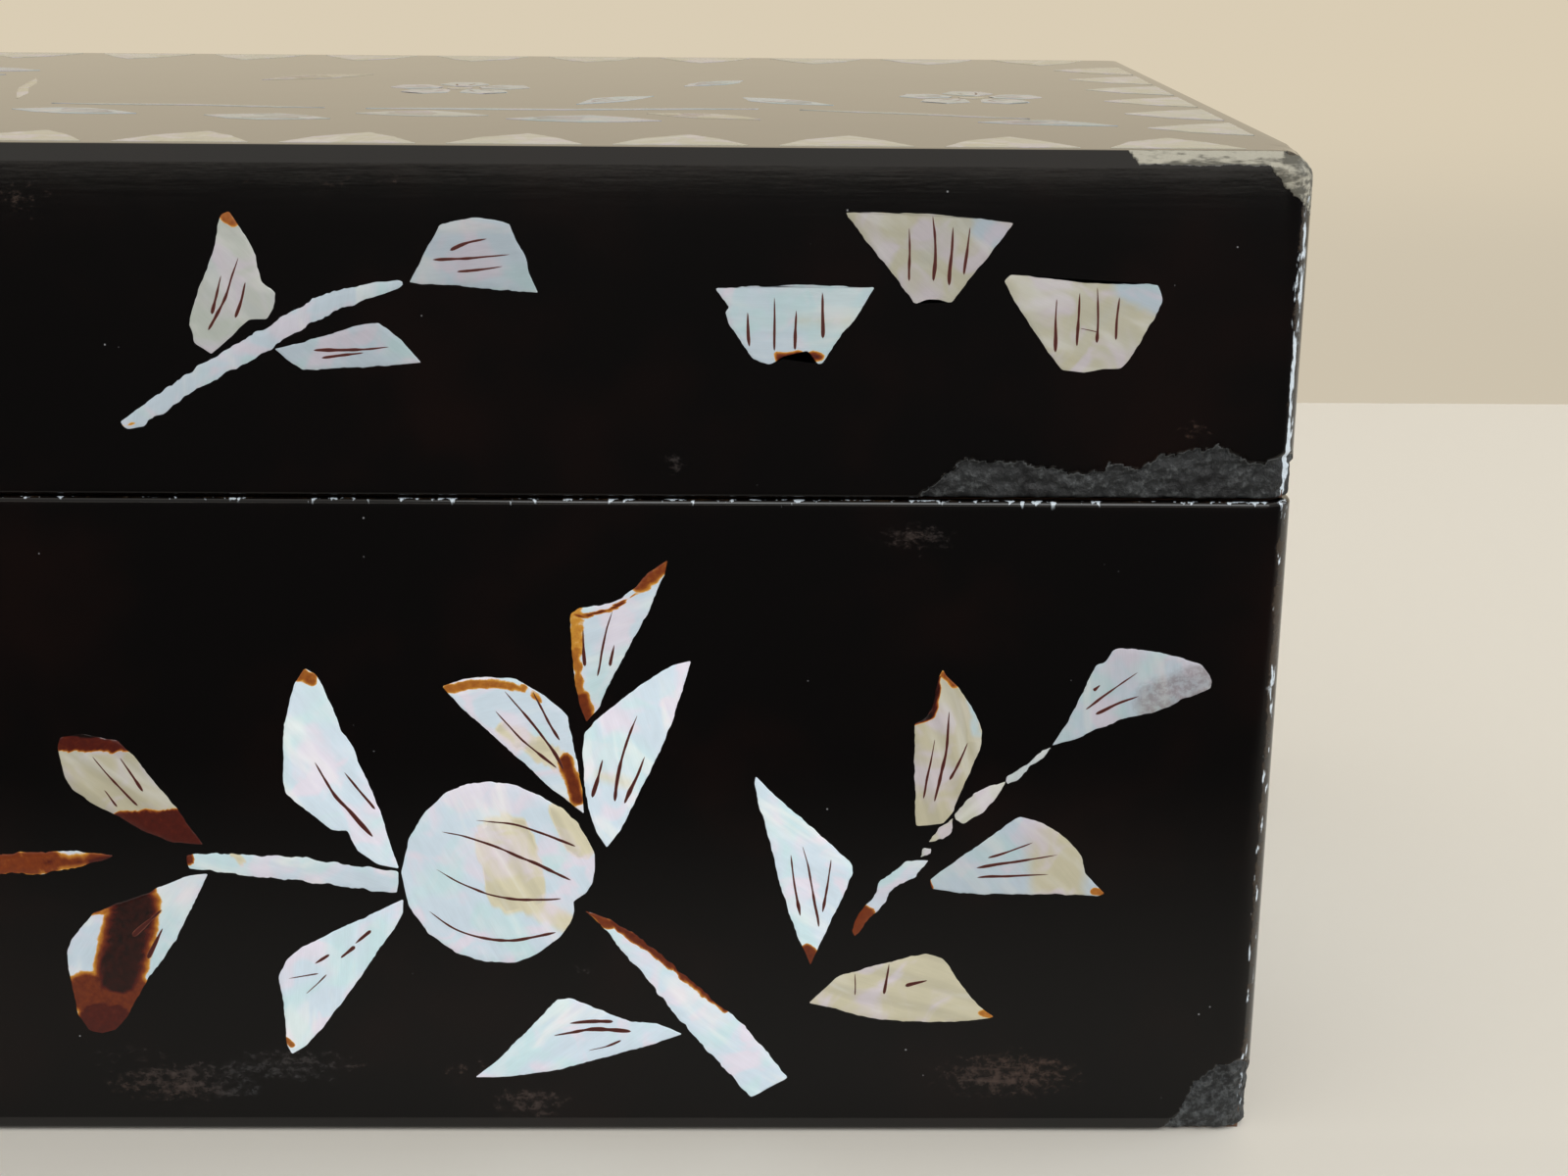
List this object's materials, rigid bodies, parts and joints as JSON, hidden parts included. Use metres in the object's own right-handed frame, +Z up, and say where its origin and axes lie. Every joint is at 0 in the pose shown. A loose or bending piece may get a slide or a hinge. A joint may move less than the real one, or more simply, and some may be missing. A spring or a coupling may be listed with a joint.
{
  "type": "inlaid wooden box",
  "caption": "Long black-lacquered wooden box with a hinged lid that lifts back, inlaid on its faces with flush pieces of shell cut as leaves, stems, petals and round fruit.",
  "frame": {"origin": "on the table, under the middle of the closed box", "axes": "+X along the box's length, to the right as seen from the front; front face towards -Y; +Z up"},
  "size_m": [0.27, 0.12, 0.1],
  "materials": {
    "carcass_wood": "softwood boards under a thin dark lacquer",
    "black_lacquer": "polished black lacquer over a grey ground, aged",
    "shell": "polished mother-of-pearl",
    "brass": "dulled brass"
  },
  "bodies": {
    "base": {"base_front_wall": "carcass_wood", "base_back_wall": "carcass_wood", "base_left_wall": "carcass_wood", "base_right_wall": "carcass_wood", "base_bottom_board": "carcass_wood", "base_lacquer_coat": "black_lacquer", "base_front_leaves": "shell", "base_front_stems": "shell", "base_front_fruits": "shell", "base_right_spray": "shell", "base_left_spray": "shell", "base_back_sprays": "shell", "hinge_base_leaf_left": "brass", "hinge_base_leaf_right": "brass", "hinge_pin_left": "brass", "hinge_pin_right": "brass"},
    "lid": {"lid_front_rail": "carcass_wood", "lid_back_rail": "carcass_wood", "lid_left_rail": "carcass_wood", "lid_right_rail": "carcass_wood", "lid_top_board": "carcass_wood", "lid_lacquer_coat": "black_lacquer", "lid_front_leaves": "shell", "lid_front_stems": "shell", "lid_front_petals": "shell", "lid_right_petals": "shell", "lid_left_petals": "shell", "lid_back_petals": "shell", "lid_top_border": "shell", "lid_top_leaves": "shell", "lid_top_stems": "shell", "lid_top_blossoms": "shell", "hinge_lid_leaf_left": "brass", "hinge_lid_leaf_right": "brass"}
  },
  "joints": [
    {"name": "lid_hinge", "type": "hinge", "parent": "base", "child": "lid", "pos_m": [0, 0.0578, 0.06715], "axis": [-1, 0, 0], "range_deg": [0, 98]}
  ]
}
